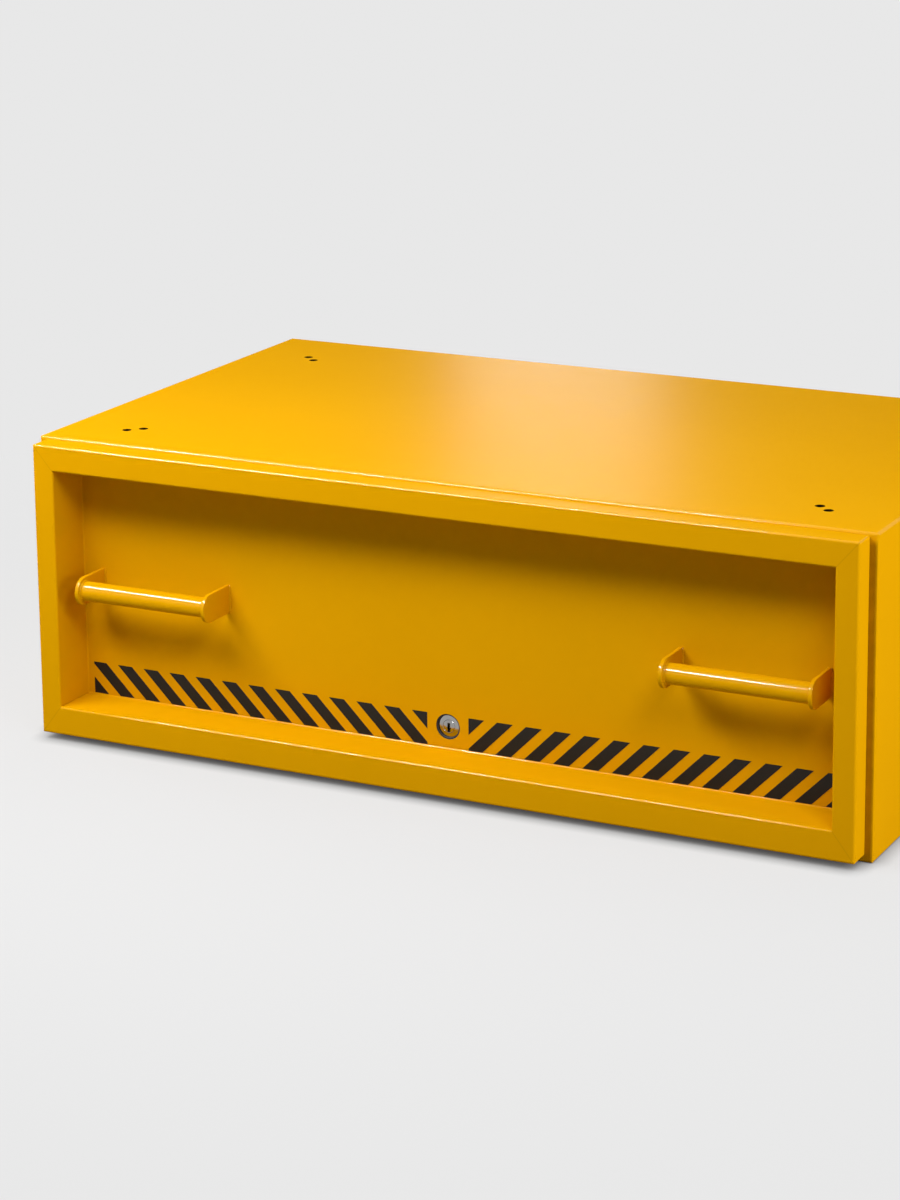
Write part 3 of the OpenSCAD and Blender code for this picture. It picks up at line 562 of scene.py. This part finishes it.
body_screw_x, body_screw_y = 19.5, -290.3
mount(set_out("slotted_body_screws", pan_screw(5.8),
              [((way * body_screw_x, body_screw_y, lock_height), to_rear) for way in (-1, 1)]),
      zinc_plate, "drawer", "lock_body_screws")
cover_screw_x, cover_screw_y, case_nut_x, case_rows = 38.3, -249.1, 43.3, (64.0, 94.5)
mount(set_out("slotted_cover_screws", pan_screw(6.0),
              [((way * cover_screw_x, cover_screw_y, z), to_rear) for way in (-1, 1) for z in case_rows]),
      zinc_plate, "drawer", "lock_cover_screws")
mount(set_out("threaded_case_nuts", stud_and_nut(3),
              [((way * case_nut_x, panel_back_y, z), to_rear) for way in (-1, 1) for z in case_rows]),
      zinc_plate, "drawer", "lock_case_nuts")
dress(zinc_plate, "lock_case", "lock_crank", "lock_bolt")
dress(powder_coat, "lock_cover")

# The studio is a pale floor in a pale room. The floor's paint looks lighter to the camera and to mirrors than to
# the light that it throws on the object, and it keeps the object's shadow. Its glow is darkened by ambient
# occlusion into a painted contact shadow where the casing stands on it.

backdrop_grey = 0.806


def seen_by_eye(nodes):
    """1 for the camera, for mirrors and through glass; 0 for the light that falls on the object."""
    by_camera, by_mirror, through_glass = (
        nodes.node("LightPath", output=kind) for kind in ("Is Camera Ray", "Is Glossy Ray", "Is Transmission Ray"))
    return by_camera.most(by_mirror).most(through_glass)


bpy.ops.object.select_all(action="DESELECT")
bpy.ops.mesh.primitive_plane_add(size=80, location=(0, 0, 0))
floor = bpy.context.object
floor.name = "studio_floor"
floor_paint = Finish("studio floor", "studio_floor", Roughness=0.9, Specular_IOR_Level=0.0)
eye = seen_by_eye(floor_paint)
floor_paint.feed("Base Color", floor_paint.blend(eye, (0.3, 0.3, 0.3, 1), (0.62, 0.62, 0.62, 1)))
# Painted contact shadow: ambient occlusion darkens the floor's glow next to the casing.
painted_contact_shade = floor_paint.node("AmbientOcclusion", None, {"Distance": 0.024}, "AO")
plain = floor_paint.node("Emission", None, {"Strength": backdrop_grey * painted_contact_shade})
where = floor_paint.node("NewGeometry", output="Position")
from_middle = floor_paint.node("VectorMath", {"operation": "LENGTH"}, {0: where}, "Value")
plainness = floor_paint.node("MapRange", {"interpolation_type": "SMOOTHSTEP"},
                             {"Value": from_middle, "From Min": 0.7, "From Max": 1.8, "To Min": 0.84, "To Max": 1.0})
lit = Socket(floor_paint, floor_paint.shader.outputs[0])
floor_paint.feed("Surface", floor_paint.node("MixShader", None, {0: eye * plainness, 1: lit, 2: plain}),
                 "Material Output")
floor.data.materials.append(floor_paint.material)

world = bpy.data.worlds.new("studio room")
world.use_nodes = True
bpy.context.scene.world = world
world.node_tree.nodes["Background"].inputs["Color"].default_value = (1, 1, 1, 1)
room = NodeTree(world.node_tree)
room.feed("Strength", room.node("Mix", None, {0: seen_by_eye(room), 2: 0.1, 3: backdrop_grey}), "Background")


def lamp(name, place, aim, size, power):
    """A soft rectangular lamp at a place, turned to a point."""
    bpy.ops.object.light_add(type="AREA", location=place)
    light = bpy.context.object
    light.name = name
    light.data.shape = "RECTANGLE"
    light.data.size, light.data.size_y = size
    light.data.energy = power
    light.rotation_euler = (Vector(aim) - Vector(place)).to_track_quat("-Z", "Y").to_euler()
    return light


lamp("key_box", (-0.87, -1.27, 1.75), (-0.3, -0.36, 0.2), (1.5, 0.5), 50)
lamp("key_tube", (-0.87, -1.25, 1.72), (-0.3, -0.36, 0.2), (1.5, 0.16), 80).visible_diffuse = False
lamp("front_right", (1.7, -1.8, 2.3), (0.3, -0.33, 0.1), (0.9, 0.9), 33)
lamp("overhead_box", (0.1, 0.4, 2.8), (0.0, 0.0, 0.4), (2.0, 2.0), 15)
lamp("right_box", (2.9, -0.35, 0.8), (0.4, 0.0, 0.1), (0.9, 1.2), 53)
lamp("left_box", (-3.2, 0.3, 0.7), (-0.6, 0.0, 0.2), (1.0, 1.0), 40)
lamp("rear_box", (-0.6, 3.3, 0.65), (0.0, 0.36, 0.2), (1.6, 0.9), 60).visible_glossy = False
lamp("rear_card", (-1.24, 2.73, 1.1), (0.2, 0.2, 0.416), (0.45, 1.2), 85).visible_diffuse = False

camera_place = Vector((1.8437, -3.9102, 1.4593))
yaw, pitch, roll = (math.radians(degrees) for degrees in (-26.895, 12.229, -0.593))
ahead = Vector((math.sin(yaw) * math.cos(pitch), math.cos(yaw) * math.cos(pitch), -math.sin(pitch)))
level = Vector((math.cos(yaw), -math.sin(yaw), 0))
over = level.cross(ahead)
rightwards = level * math.cos(roll) + over * math.sin(roll)
upwards = over * math.cos(roll) - level * math.sin(roll)
bpy.ops.object.camera_add()
camera = bpy.context.object
camera.matrix_world = Matrix([(rightwards[row], upwards[row], -ahead[row], camera_place[row]) for row in range(3)]
                             + [(0, 0, 0, 1)])
camera.data.sensor_width = 36
camera.data.lens = 98.41
camera.data.shift_y = -0.2083
bpy.context.scene.camera = camera
bpy.context.scene.view_settings.view_transform = "Standard"
